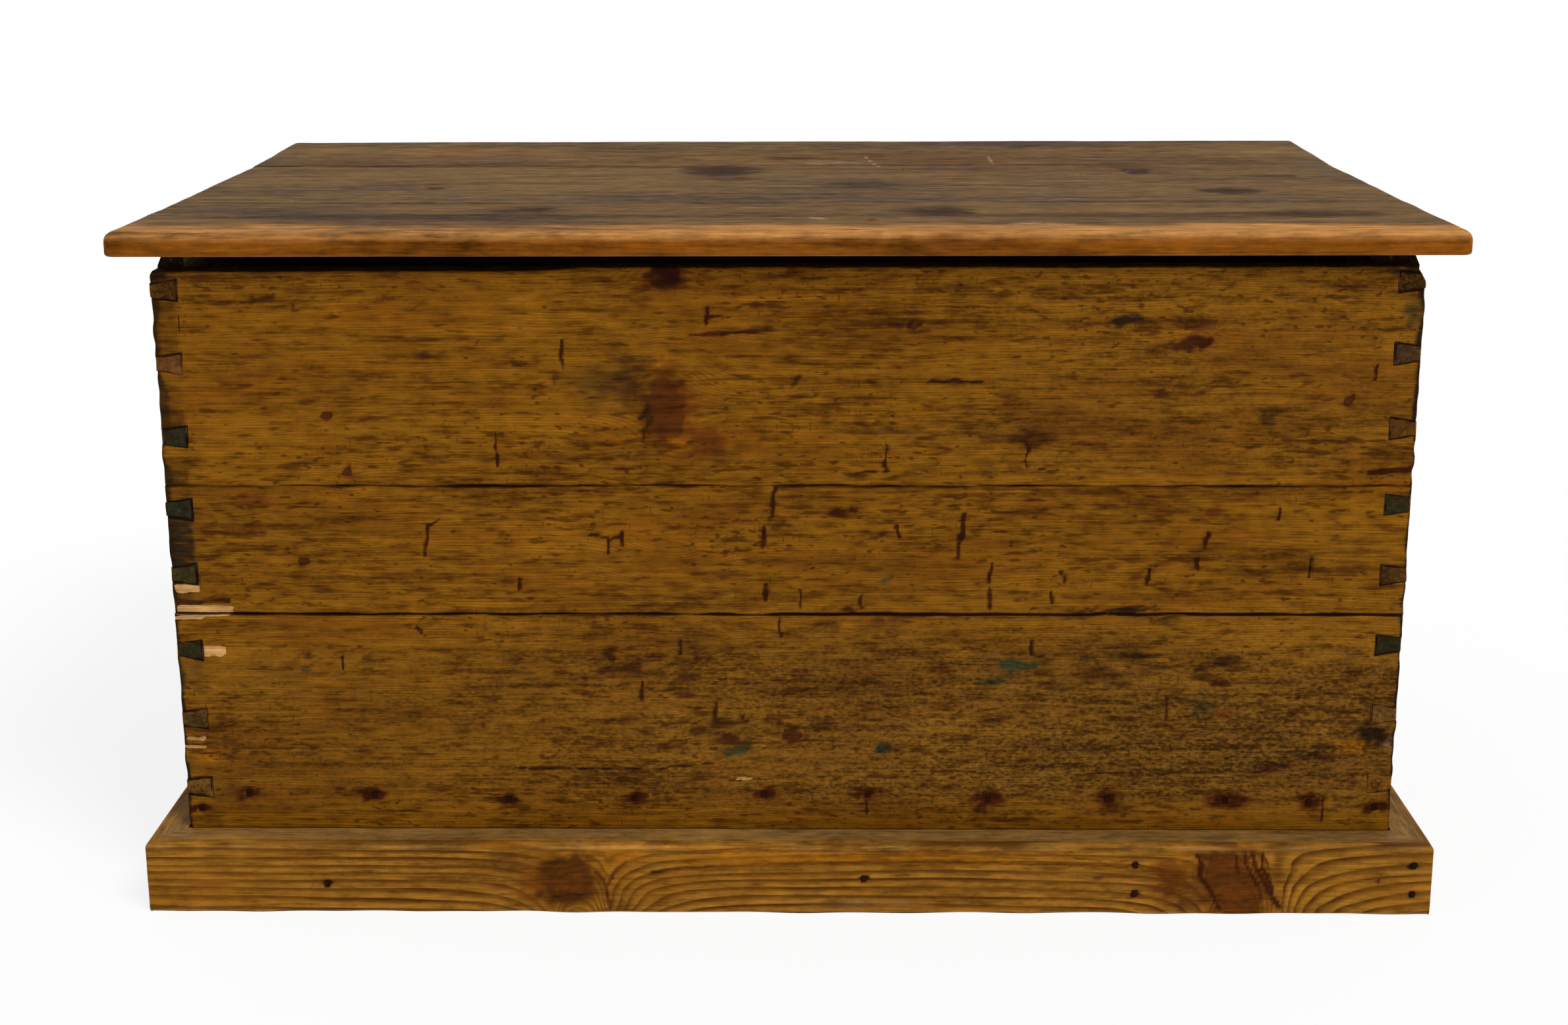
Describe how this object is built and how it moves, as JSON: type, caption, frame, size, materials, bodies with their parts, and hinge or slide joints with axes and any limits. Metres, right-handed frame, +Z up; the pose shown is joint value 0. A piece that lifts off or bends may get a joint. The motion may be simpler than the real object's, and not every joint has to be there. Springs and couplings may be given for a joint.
{
  "type": "blanket chest",
  "caption": "Dovetailed pine blanket chest with a hinged overhanging lid, a nailed floor and a mitred plinth.",
  "frame": {"origin": "middle of the chest's outline, on the surface that it stands on", "axes": "+X to the right seen from the front, +Y to the back, +Z up"},
  "size_m": [1, 0.563, 0.5364],
  "materials": {
    "front_pine": "waxed, worn",
    "end_pine": "waxed, worn",
    "back_pine": "dry, unfinished",
    "floor_pine": "dry, unfinished",
    "plinth_pine": "waxed",
    "lid_pine": "waxed, worn",
    "hinge_iron": "dark, oiled",
    "nail_iron": "rusted",
    "screw_steel": "dull"
  },
  "bodies": {
    "case": {"front_bottom_board": "front_pine", "front_middle_board": "front_pine", "front_top_board": "front_pine", "back_bottom_board": "back_pine", "back_middle_board": "back_pine", "back_top_board": "back_pine", "left_end_bottom_board": "end_pine", "left_end_middle_board": "end_pine", "left_end_top_board": "end_pine", "right_end_bottom_board": "end_pine", "right_end_middle_board": "end_pine", "right_end_top_board": "end_pine", "floor_board_1": "floor_pine", "floor_board_2": "floor_pine", "floor_board_3": "floor_pine", "floor_board_4": "floor_pine", "floor_board_5": "floor_pine", "plinth_front": "plinth_pine", "plinth_left": "plinth_pine", "plinth_right": "plinth_pine", "floor_nails_front": "nail_iron", "floor_nails_back": "nail_iron", "floor_nails_left": "nail_iron", "floor_nails_right": "nail_iron", "plinth_nails_front": "nail_iron", "plinth_nails_left": "nail_iron", "plinth_nails_right": "nail_iron", "left_hinge_case_leaf": "hinge_iron", "left_hinge_pin": "hinge_iron", "left_hinge_case_screws": "screw_steel", "right_hinge_case_leaf": "hinge_iron", "right_hinge_pin": "hinge_iron", "right_hinge_case_screws": "screw_steel"},
    "lid": {"lid_front_board": "lid_pine", "lid_middle_board": "lid_pine", "lid_rear_board": "lid_pine", "left_hinge_lid_leaf": "hinge_iron", "left_hinge_lid_screws": "screw_steel", "right_hinge_lid_leaf": "hinge_iron", "right_hinge_lid_screws": "screw_steel"}
  },
  "joints": [
    {"name": "lid_hinge", "type": "hinge", "parent": "case", "child": "lid", "pos_m": [0, 0.265, 0.5157], "axis": [-1, 0, 0], "range_deg": [0, 105]}
  ]
}
